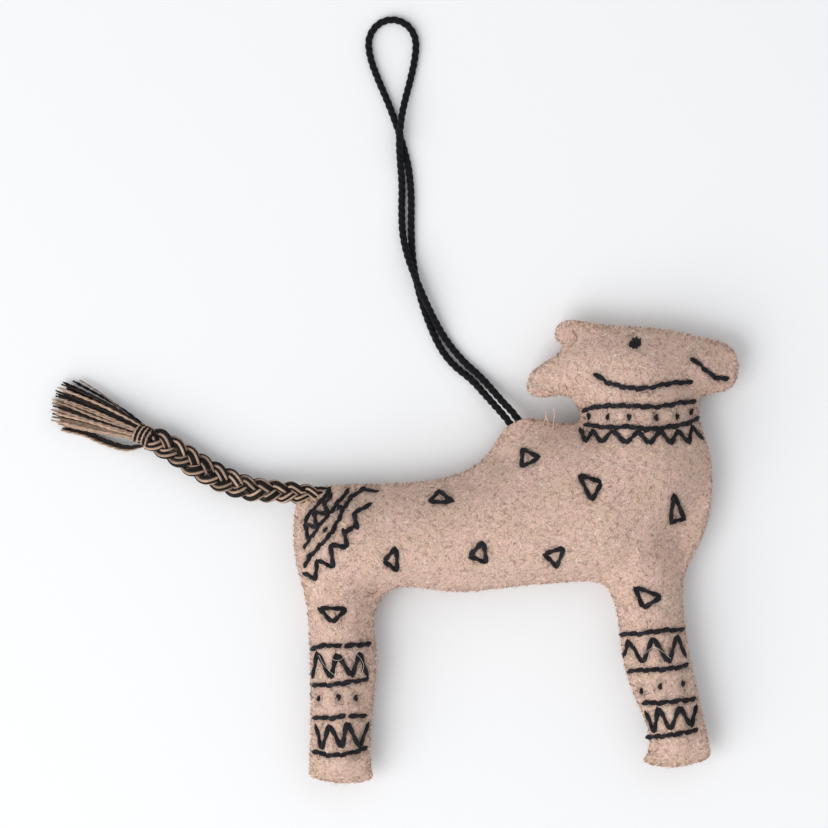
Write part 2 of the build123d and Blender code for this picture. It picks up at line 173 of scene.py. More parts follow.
def curledFibres():
    # thin curled lines: the places where a soft noise crosses its middle value
    group, entry, leave = newGroup(
        "curledFibres",
        [("Vector", "NodeSocketVector", None), ("Scale", "NodeSocketFloat", 900),
         ("Width", "NodeSocketFloat", 0.04), ("Offset", "NodeSocketFloat", 0)],
        [("Mask", "NodeSocketFloat")])
    shifted = wire(group, "ShaderNodeVectorMath",
                   [(0, entry.outputs["Vector"]), (1, entry.outputs["Offset"])], operation="ADD")
    soft = wire(group, "ShaderNodeTexNoise",
                [("Vector", shifted.outputs[0]), ("Scale", entry.outputs["Scale"])],
                Detail=1.6, Roughness=0.55, Distortion=1.1)
    away = calc(group, "ABSOLUTE", calc(group, "SUBTRACT", soft.outputs["Fac"], 0.5))
    line = wire(group, "ShaderNodeMapRange", [("Value", away), ("From Max", entry.outputs["Width"])],
                interpolation_type="SMOOTHSTEP")
    line.inputs["To Min"].default_value = 1
    line.inputs["To Max"].default_value = 0
    group.links.new(line.outputs["Result"], leave.inputs["Mask"])
    return group


def spunFuzz():
    # the grain of spun wool: a tone that wanders and a height for the bump
    group, entry, leave = newGroup(
        "spunFuzz",
        [("Vector", "NodeSocketVector", None), ("Scale", "NodeSocketFloat", 4000)],
        [("Tone", "NodeSocketFloat"), ("Height", "NodeSocketFloat")])
    fine = wire(group, "ShaderNodeTexNoise",
                [("Vector", entry.outputs["Vector"]), ("Scale", entry.outputs["Scale"])],
                Detail=3, Roughness=0.6, Distortion=0.8)
    coarse = noise(group, entry.outputs["Vector"], Scale=900, Detail=2)
    both = calc(group, "ADD", fine.outputs["Fac"], coarse)
    group.links.new(calc(group, "MULTIPLY", both, 0.5), leave.inputs["Tone"])
    group.links.new(fine.outputs["Fac"], leave.inputs["Height"])
    return group


fibreGroup = curledFibres()
fuzzGroup = spunFuzz()


def startMaterial(name, roughness, sheen):
    material = bpy.data.materials.new(name)
    material.use_nodes = True
    tree = material.node_tree
    shader = tree.nodes["Principled BSDF"]
    for socket, value in (("Roughness", roughness), ("Sheen Weight", sheen), ("Sheen Roughness", 0.6),
                          ("Specular IOR Level", 0.2)):
        shader.inputs[socket].default_value = value
    place = tree.nodes.new("ShaderNodeTexCoord").outputs["Object"]
    return material, tree, shader, place


def placeGroup(tree, group, place, **values):
    node = tree.nodes.new("ShaderNodeGroup")
    node.node_tree = group
    tree.links.new(place, node.inputs["Vector"])
    for key, value in values.items():
        node.inputs[key].default_value = value
    return node


def mixTone(tree, factor, under, over, strength=1.0):
    # lays one colour over another through a mask
    mix = tree.nodes.new("ShaderNodeMix")
    mix.data_type = "RGBA"
    tree.links.new(calc(tree, "MULTIPLY", factor, strength), mix.inputs["Factor"])
    for socket, value in (("A", under), ("B", over)):
        target = next(s for s in mix.inputs if s.name == socket and s.type == "RGBA")
        if isinstance(value, tuple):
            target.default_value = value
        else:
            tree.links.new(value, target)
    return next(s for s in mix.outputs if s.type == "RGBA")


def spread(tree, source, low, high):
    # stretches the part of a mask between two values over 0 to 1
    node = wire(tree, "ShaderNodeMapRange", [("Value", source)])
    node.inputs["From Min"].default_value = low
    node.inputs["From Max"].default_value = high
    return node.outputs["Result"]


feltTones = {
    "pink": (217, 180, 166), "warm": (210, 178, 156), "brown": (112, 80, 68), "cream": (246, 226, 210),
    "grey": (150, 132, 120), "smudge": (50, 44, 44), "rim": (118, 86, 66),
}
# scale and strength of each layer of the felt, from the widest patches to the single fibres
feltLook = {
    "patches": 260, "grain": 3300, "flecks": (1500, 0.62), "rimSpecks": (1900, 0.95), "smudge": 0.9,
    "brownFibres": (820, 0.03, 0.42), "greyFibres": (640, 0.028, 0.32), "creamFibres": (560, 0.03, 0.5),
    "creamGrain": 0.42, "bump": (0.55, 0.00022),
}


def feltMaterial(name):
    material, tree, shader, place = startMaterial(name, 0.95, 0.12)
    look = feltLook
    tones = {word: tint(*tone) for word, tone in feltTones.items()}
    patches = noise(tree, place, Scale=look["patches"], Detail=4, Roughness=0.75)
    color = mixTone(tree, spread(tree, patches, 0.36, 0.64), tones["pink"], tones["warm"])
    grain = noise(tree, place, Scale=look["grain"], Detail=3, Roughness=0.7)
    flecks = noise(tree, place, Scale=look["flecks"][0], Detail=2, Roughness=0.6, Distortion=0.7)
    color = mixTone(tree, spread(tree, flecks, 0.53, 0.72), color, tones["brown"], look["flecks"][1])
    masks = {}
    for layer, tone, offset in (("brownFibres", "brown", 0), ("greyFibres", "grey", 3.7),
                                ("creamFibres", "cream", 8.3)):
        scale, width, strength = look[layer]
        fibres = placeGroup(tree, fibreGroup, place, Scale=scale, Width=width, Offset=offset)
        masks[layer] = fibres.outputs["Mask"]
        color = mixTone(tree, masks[layer], color, tones[tone], strength)
    color = mixTone(tree, spread(tree, grain, 0.5, 0.8), color, tones["cream"], look["creamGrain"])
    # painted shade: brown specks that thicken towards the outer edge, where the felt rolls under, darken
    # the rim as well as speckling it
    rim = wire(tree, "ShaderNodeAttribute", attribute_name="rimShadeAndSpecks").outputs["Fac"]
    specks = noise(tree, place, Scale=look["rimSpecks"][0], Detail=2, Roughness=0.6)
    rimSpots = calc(tree, "MULTIPLY", rim, spread(tree, specks, 0.46, 0.66))
    color = mixTone(tree, rimSpots, color, tones["rim"], look["rimSpecks"][1])
    smudge = wire(tree, "ShaderNodeAttribute", attribute_name="threadSmudge").outputs["Fac"]
    color = mixTone(tree, calc(tree, "MULTIPLY", smudge, grain), color, tones["smudge"], look["smudge"])
    tree.links.new(color, shader.inputs["Base Color"])
    raised = calc(tree, "ADD", masks["brownFibres"], masks["creamFibres"])
    bump = wire(tree, "ShaderNodeBump", [("Height", calc(tree, "ADD", raised, grain))],
                Strength=look["bump"][0], Distance=look["bump"][1])
    tree.links.new(bump.outputs["Normal"], shader.inputs["Normal"])
    return material


threadLook = {"grain": 4200, "lighter": 2.1, "mottle": 0.6, "bump": (0.5, 0.0001)}


def threadMaterial(name, darkTone, lightTone, sheen=0.1):
    # the piece's own tone, from 0 to 1, picks a colour between the two, and the fuzz mottles it
    material, tree, shader, place = startMaterial(name, 0.85, sheen)
    tone = wire(tree, "ShaderNodeAttribute", attribute_name="tone")
    fuzz = placeGroup(tree, fuzzGroup, place, Scale=threadLook["grain"])
    color = mixTone(tree, tone.outputs["Fac"], tint(*darkTone), tint(*lightTone))
    bright = spread(tree, fuzz.outputs["Tone"], 0.42, 0.7)
    shade = wire(tree, "ShaderNodeHueSaturation", [("Color", color)], Value=threadLook["lighter"],
                 Saturation=0.85)
    color = mixTone(tree, bright, color, shade.outputs["Color"], threadLook["mottle"])
    tree.links.new(color, shader.inputs["Base Color"])
    bump = wire(tree, "ShaderNodeBump", [("Height", fuzz.outputs["Height"])],
                Strength=threadLook["bump"][0], Distance=threadLook["bump"][1])
    tree.links.new(bump.outputs["Normal"], shader.inputs["Normal"])
    return material


def tableMaterial():
    material, tree, shader, place = startMaterial("paleTable", 0.7, 0)
    tone = stage["tableTone"]
    color = mixTone(tree, noise(tree, place, Scale=6, Detail=2), (*tone, 1),
                    tuple(c * 0.985 for c in tone) + (1,))
    tree.links.new(color, shader.inputs["Base Color"])
    return material


felt = feltMaterial("woolFelt")
floss = threadMaterial("blackFloss", (9, 8, 10), (36, 34, 39), sheen=0.03)
cordWool = threadMaterial("blackCord", (5, 5, 7), (20, 20, 24), sheen=0.02)
tailWool = threadMaterial("tailYarn", (12, 10, 12), (178, 148, 126), sheen=0.03)
seamWool = threadMaterial("seamThread", (128, 94, 78), (212, 180, 160))
fillWool = threadMaterial("woolStuffing", (206, 196, 182), (232, 226, 214))
feltHair = threadMaterial("feltFibre", (110, 82, 68), (240, 222, 205))

bpy.ops.mesh.primitive_plane_add(size=stage["tableSize"], location=(0, 0, -0.02 * mm))
table = bpy.context.object
table.name = "table"
table.data.materials.append(tableMaterial())
table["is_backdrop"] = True
deselectAll()
print("materials ready")


# paths and threads
def alongPath(points):
    points = np.asarray(points, float)
    steps = np.linalg.norm(np.diff(points, axis=0), axis=1)
    return points, np.concatenate([[0], np.cumsum(steps)])


def resample(points, step):
    points, run = alongPath(points)
    count = max(3, int(round(run[-1] / step)) + 1)
    marks = np.linspace(0, run[-1], count)
    return np.stack([np.interp(marks, run, points[:, k]) for k in range(3)], 1)


def smoothLine(points, step):
    # a Catmull-Rom line through the points, evenly spaced
    points = np.asarray(points, float)
    ends = np.vstack([2 * points[0] - points[1], points, 2 * points[-1] - points[-2]])
    line = []
    for a, b, c, d in zip(ends, ends[1:], ends[2:], ends[3:]):
        for t in np.linspace(0, 1, 12, endpoint=False):
            line.append(0.5 * (2 * b + (c - a) * t + (2 * a - 5 * b + 4 * c - d) * t * t
                               + (3 * b - a - 3 * c + d) * t ** 3))
    line.append(points[-1])
    return resample(line, step)


def frames(points, up):
    # sideways and upward directions at each point
    forward = np.gradient(points, axis=0)
    forward /= np.linalg.norm(forward, axis=1)[:, None]
    side = np.cross(forward, up)
    side /= np.linalg.norm(side, axis=1)[:, None] + 1e-12
    return side, np.cross(side, forward)


def spunRope(points, radius, plies, pitch, sides=6, taper=None, start=0.0, up=(0, 0, 1)):
    # plies wound round a line, each a tube with closed ends
    points, run = alongPath(points)
    side, over = frames(points, up)
    share = {1: (1.0, 0.0), 2: (0.64, 0.36), 3: (0.6, 0.4)}[plies]
    width = radius * (np.ones(len(points)) if taper is None else taper(run / run[-1]))
    verts, faces = [], []
    for ply in range(plies):
        turn = 2 * np.pi * (run / pitch + ply / plies) + start
        centre = points + (side * np.cos(turn)[:, None] + over * np.sin(turn)[:, None]) \
            * (width * share[1])[:, None]
        base = sum(len(v) for v in verts)
        ring = 2 * np.pi * np.arange(sides) / sides
        tube = centre[:, None, :] + (side[:, None, :] * np.cos(ring)[None, :, None]
                                     + over[:, None, :] * np.sin(ring)[None, :, None]) \
            * (width * share[0])[:, None, None]
        verts.append(tube.reshape(-1, 3))
        for i in range(len(points) - 1):
            for k in range(sides):
                a, b = base + i * sides + k, base + i * sides + (k + 1) % sides
                faces.append((a, b, b + sides, a + sides))
        last = base + (len(points) - 1) * sides
        faces.append(tuple(range(base + sides - 1, base - 1, -1)))
        faces.append(tuple(range(last, last + sides)))
    return np.vstack(verts), faces


def makePiece(name, parts, material, body, nodes=()):
    # joins (points, faces, tone) parts into one object
    verts, faces, tones, base = [], [], [], 0
    for points, shapes, tone in parts:
        verts.append(points)
        faces += [tuple(base + i for i in face) for face in shapes]
        tones.append(np.full(len(points), tone))
        base += len(points)
    mesh = bpy.data.meshes.new(name)
    mesh.from_pydata(np.vstack(verts).tolist(), [], faces)
    mesh.attributes.new("tone", "FLOAT", "POINT").data.foreach_set("value", np.concatenate(tones))
    mesh.polygons.foreach_set("use_smooth", [True] * len(mesh.polygons))
    piece = newObject(name, mesh)
    bpy.context.view_layer.objects.active = piece
    piece.select_set(True)
    bpy.ops.object.mode_set(mode="EDIT")
    bpy.ops.mesh.select_all(action="SELECT")
    bpy.ops.mesh.normals_make_consistent(inside=False)
    bpy.ops.object.mode_set(mode="OBJECT")
    deselectAll()
    piece.data.materials.append(material)
    if body:
        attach(piece, body)
    if nodes:
        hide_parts(*nodes)
    return piece


def lineFromRoute(name, route):
    # the smooth line of a cord, read back from its own spline
    curve = bpy.data.curves.new(name, "CURVE")
    curve.dimensions = "3D"
    curve.resolution_u = 16
    spline = curve.splines.new("NURBS")
    spline.points.add(len(route) - 1)
    for point, place in zip(spline.points, route):
        point.co = (*(Vector(place) * mm), 1)
    spline.order_u = 3
    spline.use_endpoint_u = True
    holder = newObject(name, curve)
    bpy.context.view_layer.update()
    mesh = bpy.data.meshes.new_from_object(holder)
    points = np.array([v.co for v in mesh.vertices])
    bpy.data.objects.remove(holder)
    bpy.data.meshes.remove(mesh)
    return points


def spunMaster(name, plies, sides, steps, turns):
    # a short length of twisted thread from x 0 to 1, one unit in radius, wound by extruding and turning
    share = {1: (1.0, 0.0), 2: (0.58, 0.42)}[plies]
    bpy.ops.mesh.primitive_circle_add(vertices=sides, radius=share[0], location=(0, 0, share[1]),
                                      rotation=(0, math.pi / 2, 0))
    master = bpy.context.object
    master.name = name
    bpy.ops.object.transform_apply(location=True, rotation=True, scale=True)
    bpy.ops.object.mode_set(mode="EDIT")
    for ply in range(1, plies):
        bpy.ops.mesh.select_all(action="SELECT")
        bpy.ops.mesh.duplicate()
        bpy.ops.transform.rotate(value=2 * math.pi / plies, orient_axis="X", center_override=(0, 0, 0))
    bpy.ops.mesh.select_all(action="SELECT")
    for step in range(steps):
        bpy.ops.mesh.extrude_edges_move(TRANSFORM_OT_translate={"value": (1 / steps, 0, 0)})
        bpy.ops.transform.rotate(value=2 * math.pi * turns / steps, orient_axis="X",
                                 center_override=((step + 1) / steps, 0, 0))
    bpy.ops.mesh.select_all(action="SELECT")
    bpy.ops.mesh.fill_holes(sides=sides)
    bpy.ops.mesh.normals_make_consistent(inside=False)
    bpy.ops.object.mode_set(mode="OBJECT")
    points = np.array([v.co for v in master.data.vertices])
    shapes = [tuple(face.vertices) for face in master.data.polygons]
    bpy.data.objects.remove(master)
    return points, shapes


def layMaster(master, line, radius, up, taper, flat=1.0):
    # a copy of the master carried along a line
    points, shapes = master
    line, run = alongPath(line)
    side, over = frames(line, up)
    marks = points[:, 0] * run[-1]

    def at(values):
        return np.stack([np.interp(marks, run, values[:, k]) for k in range(3)], 1)

    width = radius * taper(points[:, 0])
    return (at(line) + at(side) * (points[:, 1] * width)[:, None]
            + at(over) * (points[:, 2] * width * flat)[:, None]), shapes


# hanging cord, folded in two, out of the seam and back into it
hanger = {"diameter": 1.2, "plies": 3, "pitch": 3.4, "step": 0.32, "bendStart": (-0.6, 21.2, 3.6),
          "bendEnd": (-3.2, 24.6, 3.6), "exit": (-0.95, 20.56, 3.6)}
hangerRoute = [
    (-0.2, 19.4, 3.7), (-0.9, 20.4, 3.6),
    (-1.7, 21.5, 3.3), (-3.2, 23.2, 2.5), (-5, 25.2, 1.3), (-7.1, 27.6, 0.6), (-9.9, 29.7, 0.6),
    (-12.1, 32.5, 0.6), (-13.9, 36.5, 0.6), (-15.5, 41.3, 0.6), (-16.5, 46.3, 0.6), (-16.8, 51.5, 0.6),
    (-16.7, 56.8, 0.6), (-17.1, 61.5, 0.6), (-18.2, 65.6, 0.6), (-19.3, 69, 0.6), (-20.7, 72.6, 0.6),
    (-22.2, 76, 0.6), (-23.4, 79.3, 0.6), (-23.7, 82.3, 0.6), (-22.3, 84.6, 0.6), (-19.8, 85.5, 0.6),
    (-17.3, 84.6, 0.6), (-15.9, 82.3, 0.6), (-16.1, 79.1, 0.6), (-16.9, 75.5, 0.6), (-17.8, 72.2, 1.2),
    (-18.4, 69.2, 1.85), (-18.7, 65.8, 1.85), (-18.5, 62.4, 1.1), (-18.2, 58.8, 0.6), (-18.3, 54.8, 0.6),
    (-18.2, 51, 0.9), (-17.4, 47.4, 1.6), (-16.3, 44.4, 1.85), (-14.9, 41, 1.85), (-13.1, 37.2, 1.3),
    (-11.1, 33.7, 0.6), (-8.4, 30.4, 0.6), (-5.8, 28.2, 0.9), (-3.6, 25.7, 1.6), (-1.8, 23.6, 2.6),
    (-0.6, 22.4, 3.3), (0.2, 21.3, 3.6), (0.9, 20.2, 3.7),
]
hangerLine = resample(lineFromRoute("hangerLine", hangerRoute), hanger["step"] * mm)
hangerRope = spunRope(hangerLine, hanger["diameter"] / 2 * mm, hanger["plies"], hanger["pitch"] * mm)
hangingCord = makePiece("hanging_cord_twisted", [(*hangerRope, 0.4)], cordWool, None,
                        ["hanging_cord"])
Vector(hanger["bendStart"]) * mm
Vector(hanger["bendEnd"]) * mm
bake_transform(hangingCord)
hangerLength = alongPath(hangerLine)[1][-1]
Vector(hanger["exit"]) * mm
print("hanging cord laid", round(hangerLength, 4))


# tail: three strands of ten yarns, braided, bound and fanned out
tail = {"pitch": 7.8, "sideways": 1.3, "upward": 0.85, "strand": 0.92, "yarns": 10, "yarn": 0.235,
        "step": 0.3, "twist": 24, "rootNarrow": 0.72, "rootLength": 16, "endNarrow": 0.65, "endLength": 3.4,
        "bendStart": (-34.6, 9.3, 3.6), "bendEnd": (-39.6, 9.9, 3.0), "exit": (-35, 9.4, 3.6)}
tailRoute = [
    (-31.6, 8.7, 4.6), (-33.4, 9.1, 4.3), (-35.4, 9.4, 3.9),
    (-38.2, 9.6, 3.2), (-42, 9.8, 2.4), (-46, 11, 2.1), (-50.3, 13.2, 2.1), (-54.6, 16.1, 2.1),
    (-57.8, 17.9, 2.2), (-60.4, 18.95, 2.2),
]
tailLine = resample(lineFromRoute("tailLine", tailRoute), tail["step"] * mm)
tailPoints, tailRun = alongPath(tailLine)
tailSide, tailOver = frames(tailPoints, (0, 0, 1))
towardsEnd = (tailRun - tailRun[-1]) / (tail["endLength"] * mm) + 1
swell = np.clip(tail["rootNarrow"] + (1 - tail["rootNarrow"]) * tailRun / (tail["rootLength"] * mm), 0, 1) \
    * np.clip(1 - (1 - tail["endNarrow"]) * towardsEnd, tail["endNarrow"], 1)
yarnParts = []
for strand in range(3):
    phase = 2 * np.pi * (tailRun / (tail["pitch"] * mm) + strand / 3)
    middle = tailPoints + tailSide * (tail["sideways"] * mm * np.sin(phase) * swell)[:, None] \
        + tailOver * (tail["upward"] * mm * np.sin(2 * phase) * swell)[:, None]
    strandSide, strandOver = frames(middle, (0, 0, 1))
    for yarn in range(tail["yarns"]):
        twist = 2 * np.pi * (yarn / tail["yarns"] + tailRun / (tail["twist"] * mm)) + strand
        reach = (tail["strand"] - tail["yarn"]) * mm * swell
        centre = middle + strandSide * (reach * np.cos(twist))[:, None] \
            + strandOver * (0.8 * reach * np.sin(twist))[:, None]
        isPale = (yarn + strand) % 5 in (0, 2)
        tone = 0.6 + 0.4 * random.random() if isPale else 0.02 * random.random()
        yarnParts.append((*spunRope(centre, tail["yarn"] * mm, 1, mm), tone))
braid = makePiece("tail_braid", yarnParts, tailWool, None,
                  ["tail_strand_1", "tail_strand_2", "tail_strand_3", "tail_anchor"])
Vector(tail["bendStart"]) * mm
Vector(tail["bendEnd"]) * mm
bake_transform(braid)
print("tail braided", round(tailRun[-1], 4))

# binding: thick dark turns with thin pale ones between them
binding = {"radius": 1.32, "length": 2.5, "turns": 3.5, "steps": 56, "dark": 0.34, "pale": 0.17,
           "paleOut": 0.24, "slant": 0.45, "back": 0.2, "flatness": 0.95,
           "knotSize": 0.3, "knotPlace": (-59.3, 17.0, 1.9), "knotThread": 0.3}
bindStart = Vector((-58.1, 18.05, 2.2))
bindWay = Vector((-0.93, 0.37, 0)).normalized()
bindSide = bindWay.cross(Vector((0, 0, 1))).normalized()
bindOver = bindSide.cross(bindWay)
bindParts = []
for shift, radius, tone in ((0.0, binding["dark"], 0.0), (0.42, binding["dark"] * 0.9, 0.02),
                            (0.7, binding["pale"], 0.9)):
    reach = binding["radius"] + (binding["paleOut"] if tone > 0.5 else 0)
    helix = []
    for index in range(binding["steps"] + 1):
        share = index / binding["steps"]
        angle = 2 * math.pi * binding["turns"] * share
        along = share * binding["length"] + shift * binding["length"] / binding["turns"]
        lean = binding["slant"] * math.sin(angle)
        place = bindStart + bindWay * (along + lean - binding["back"]) \
            + bindSide * (reach * math.cos(angle)) \
            + bindOver * (reach * binding["flatness"] * math.sin(angle))
        helix.append(tuple(place * mm))
    bindParts.append((*spunRope(resample(helix, 0.3 * mm), radius * mm, 2, 1.3 * mm, 5, up=tuple(bindWay)),
                      tone))
knotLine = []
for a in np.linspace(0, 2 * math.pi, 40):
    loop = Vector((0.5 * math.sin(a) + math.sin(2 * a), 0.5 * math.cos(a) - math.cos(2 * a),
                   -0.7 * math.sin(3 * a)))
    knotLine.append(tuple((loop * binding["knotSize"] + Vector(binding["knotPlace"])) * mm))
bindParts.append((*spunRope(resample(knotLine, 0.2 * mm), binding["knotThread"] * mm, 2, 1.2 * mm, 5,
                            up=(0.2, 0.1, 1)), 0.0))
bindingPiece = makePiece("tail_binding_thread", bindParts, tailWool, "tail", ["tail_binding"])

# tassel: cut yarns, dark towards the top of the fan and pale towards the bottom
tassel = {"count": 40, "tipX": -73.4, "tipLow": 20.3, "tipHigh": 27.3, "radius": 0.24, "rootHalf": 1.15,
          "rootAhead": 1.9, "rootLayer": 0.75, "tipLayer": 0.7, "tipFloor": 0.4, "mixed": 0.12}
tasselRoot = bindStart + bindWay * tassel["rootAhead"]
darkParts, paleParts = [], []


def addYarn(route, tone, radius):
    line = smoothLine([tuple(Vector(p) * mm) for p in route], 0.3 * mm)
    rope = spunRope(line, radius * mm, 2, 2.8 * mm, 5, start=6 * random.random(),
                    taper=lambda t: 1 - 0.35 * np.clip((t - 0.93) / 0.07, 0, 1))
    (paleParts if tone > 0.3 else darkParts).append((*rope, tone))


for index in range(tassel["count"]):
    share = (index + 0.5) / tassel["count"]
    layer = index % 3
    across = (share - 0.5) * 2
    root = tasselRoot + bindSide * (tassel["rootHalf"] * across + 0.2) \
        + Vector((0, 0, (layer - 1) * tassel["rootLayer"]))
    tipY = tassel["tipLow"] + (tassel["tipHigh"] - tassel["tipLow"]) * share
    tip = Vector((tassel["tipX"] + 1.1 * math.sin(index * 2.3) + 1.6 * max(0, across - 0.2),
                  tipY + 0.3 * math.sin(index * 4.1), tassel["tipFloor"] + tassel["tipLayer"] * layer))
    bulge = across * (0.4 if across > 0 else 0.12)
    near = root.lerp(tip, 0.28) + bindSide * bulge + Vector((0, 0, 0.2))
    far = root.lerp(tip, 0.62) + bindSide * bulge + Vector((0, 0.25 * math.sin(index * 1.7), 0.1))
    chance = random.random()
    isDark = chance < (0.9 if share > 0.62 else 0.42 if share > 0.3 else 0.3)
    if isDark:
        tone = 0.4 if chance < tassel["mixed"] else 0.03 * random.random()
    else:
        tone = 0.6 + 0.4 * random.random()
    addYarn([root, near, far, tip], tone, tassel["radius"] * (0.85 + 0.3 * random.random()))
looseYarns = [
    ([(-59.2, 17.2, 2.0), (-62.2, 16.8, 1.4), (-66.0, 17.9, 0.9), (-68.8, 19.1, 0.6), (-72.4, 20.0, 0.4)],
     0.02, tassel["radius"]),
    ([(-59.4, 17.0, 1.7), (-62.5, 16.5, 1.2), (-66.2, 17.6, 0.7), (-69.0, 18.8, 0.5), (-72.8, 19.7, 0.4)],
     0.02, tassel["radius"]),
    ([(-59.5, 16.9, 1.4), (-62.6, 16.2, 0.9), (-66.5, 17.3, 0.5), (-69.2, 18.5, 0.4), (-73.0, 19.4, 0.4)],
     0.8, tassel["radius"]),
    ([(-60.2, 20.0, 2.6), (-63.8, 23.2, 2.0), (-67.4, 25.9, 1.4), (-70.0, 27.5, 0.8)], 0.42, 0.14),
]
for route, tone, radius in looseYarns:
    addYarn(route, tone, radius)
darkTassel = makePiece("tassel_dark_yarns", darkParts, tailWool, "tail",
                       ["tassel_black_yarns"])
paleTassel = makePiece("tassel_pale_yarns", paleParts, tailWool, "tail",
                       ["tassel_beige_yarns"])
Vector(tail["exit"]) * mm
print("tassel fanned")


# what the CAD says about the felt and its stitches
def readTriples(items, name, kind=np.float32):
    values = np.zeros(len(items) * 3, kind)
    items.foreach_get(name, values)
    return values.reshape(-1, 3).astype(float if kind == np.float32 else int)


def cadArrays(node):
    # the node's points, welded, and its triangles
    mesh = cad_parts[node].data
    mesh.calc_loop_triangles()
    co = readTriples(mesh.vertices, "co")
    tri = readTriples(mesh.loop_triangles, "vertices", np.int32)
    keys, welded = np.unique(np.round(co / (0.002 * mm)).astype(np.int64), axis=0, return_inverse=True)
    merged = np.zeros((len(keys), 3))
    merged[welded.ravel()] = co
    return merged, welded.ravel()[tri]


def separateShapes(node):
    # the points of each separate solid of a node
    co, tri = cadArrays(node)
    label = np.arange(len(co))
    while True:
        low = label[tri].min(1)
        before = label.copy()
        for corner in range(3):
            np.minimum.at(label, tri[:, corner], low)
        label = label[label]
        if (label == before).all():
            break
    used = np.unique(tri)
    return [co[used[label[used] == mark]] for mark in np.unique(label[used])]


def outlineOfFelt():
    # the outer edge of the panel's underside, in order, anticlockwise
    co, tri = cadArrays("front_panel")
    seam = co[:, 2].min()
    flat = tri[(co[tri][:, :, 2] < seam + 0.02 * mm).all(1)]
    edges = {}
    for a, b, c in flat:
        for pair in ((a, b), (b, c), (c, a)):
            edges[frozenset(pair)] = edges.get(frozenset(pair), 0) + 1
    near = {}
    for pair, uses in edges.items():
        if uses == 1 and len(pair) == 2:
            a, b = pair
            near.setdefault(a, []).append(b)
            near.setdefault(b, []).append(a)
    loops, seen = [], set()
    for first in near:
        if first in seen:
            continue
        loop, here, last = [first], first, None
        seen.add(first)
        while True:
            onward = [n for n in near[here] if n != last and n not in seen]
            if not onward:
                break
            last, here = here, onward[0]
            seen.add(here)
            loop.append(here)
        loops.append(co[loop][:, :2])
    longest = max(loops, key=lambda loop: np.ptp(loop[:, 0]) + np.ptp(loop[:, 1]))
    x, y = longest.T
    area = np.sum(x * np.roll(y, -1) - np.roll(x, -1) * y) / 2
    return longest if area > 0 else longest[::-1]


cut = {"edgeStep": 1.0, "grid": 1.2, "flange": 0.75, "rounding": {"front": 5.2, "back": 3.4},
       "thickness": 1.0, "scale": 30, "frames": 20, "pressure": 4.0, "drift": 0.4, "swell": 0.45,
       "sink": 0.25}
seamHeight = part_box("front_panel")[0].z
rawOutline = outlineOfFelt()
closed = np.vstack([rawOutline, rawOutline[:1]])
outline = resample(np.column_stack([closed, np.zeros(len(closed))]), cut["edgeStep"] * mm)[:-1, :2]
edgeAhead = np.roll(outline, -1, 0) - outline
edgeOut = np.stack([edgeAhead[:, 1], -edgeAhead[:, 0]], 1)
edgeOut /= np.linalg.norm(edgeOut, axis=1)[:, None]


def nearestEdge(places):
    # distance to the outline, the nearest place on it and the outward direction there
    places = np.asarray(places, float)[:, :2]
    best = np.full(len(places), 1e9)
    spot = np.zeros_like(places)
    outward = np.zeros_like(places)
    for start, ahead, out in zip(outline, edgeAhead, edgeOut):
        t = np.clip(((places - start) @ ahead) / (ahead @ ahead), 0, 1)
        foot = start + t[:, None] * ahead
        away = np.linalg.norm(places - foot, axis=1)
        closer = away < best
        best[closer] = away[closer]
        spot[closer] = foot[closer]
        outward[closer] = out
    return best, spot, outward


def insideOutline(places):
    x, y = places[:, 0], places[:, 1]
    crossings = np.zeros(len(places), int)
    for (ax, ay), (bx, by) in zip(outline, np.roll(outline, -1, 0)):
        spans = (ay > y) != (by > y)
        with np.errstate(divide="ignore", invalid="ignore"):
            at = ax + (y - ay) * (bx - ax) / (by - ay)
        crossings += spans & (x < at)
    return crossings % 2 == 1


sides = ("front", "back")
outwardOf = {"front": 1, "back": -1}
stitchNodes = {side: [node for node in sorted(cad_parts)
                      if node.startswith(side + "_") and node != side + "_panel"] for side in sides}
stitchEnds = {}
for side in sides:
    for node in stitchNodes[side]:
        stitchEnds[node] = []
        for cloud in separateShapes(node):
            middle = cloud.mean(0)
            way = np.linalg.svd(cloud - middle, full_matrices=False)[2][0]
            reach = (cloud - middle) @ way
            stitchEnds[node].append((middle + way * reach.min(), middle + way * reach.max()))
_, whipFoot, whipOut = nearestEdge([cloud.mean(0) for cloud in separateShapes("seam_thread")])
print("stitches read", sum(len(v) for v in stitchEnds.values()), "and", len(whipFoot))


# felt panels: cut flat, sewn round the edge, then inflated as cloth
def panelNet():
    ring = outline - edgeOut * cut["flange"] * mm
    away, _, _ = nearestEdge(ring)
    ring = ring[(away > 0.8 * cut["flange"] * mm) & insideOutline(ring)]
    step = cut["grid"] * mm
    rowStep = step * 0.866
    low, high = outline.min(0), outline.max(0)
    rows = int((high[1] - low[1]) / rowStep) + 1
    columns = int((high[0] - low[0]) / step) + 2
    grid = np.array([(low[0] + (c + 0.5 * (r % 2)) * step, low[1] + r * rowStep)
                     for r in range(rows) for c in range(columns)])
    grid += dice.uniform(-0.1, 0.1, grid.shape) * step
    away, _, _ = nearestEdge(grid)
    grid = grid[insideOutline(grid) & (away > (cut["flange"] + 0.7) * mm)]
    places = np.vstack([outline, ring, grid])
    edges = [(i, (i + 1) % len(outline)) for i in range(len(outline))]
    verts, _, faces, _, _, _ = geometry.delaunay_2d_cdt([Vector(p) for p in places], edges, [], 1, 1e-8)
    return np.array([tuple(v) for v in verts]), [tuple(f) for f in faces]


rayStart = 50 * mm
netPlaces, netFaces = panelNet()
netAway, _, _ = nearestEdge(netPlaces)
netEdge = np.where(netAway < 0.05 * mm)[0]


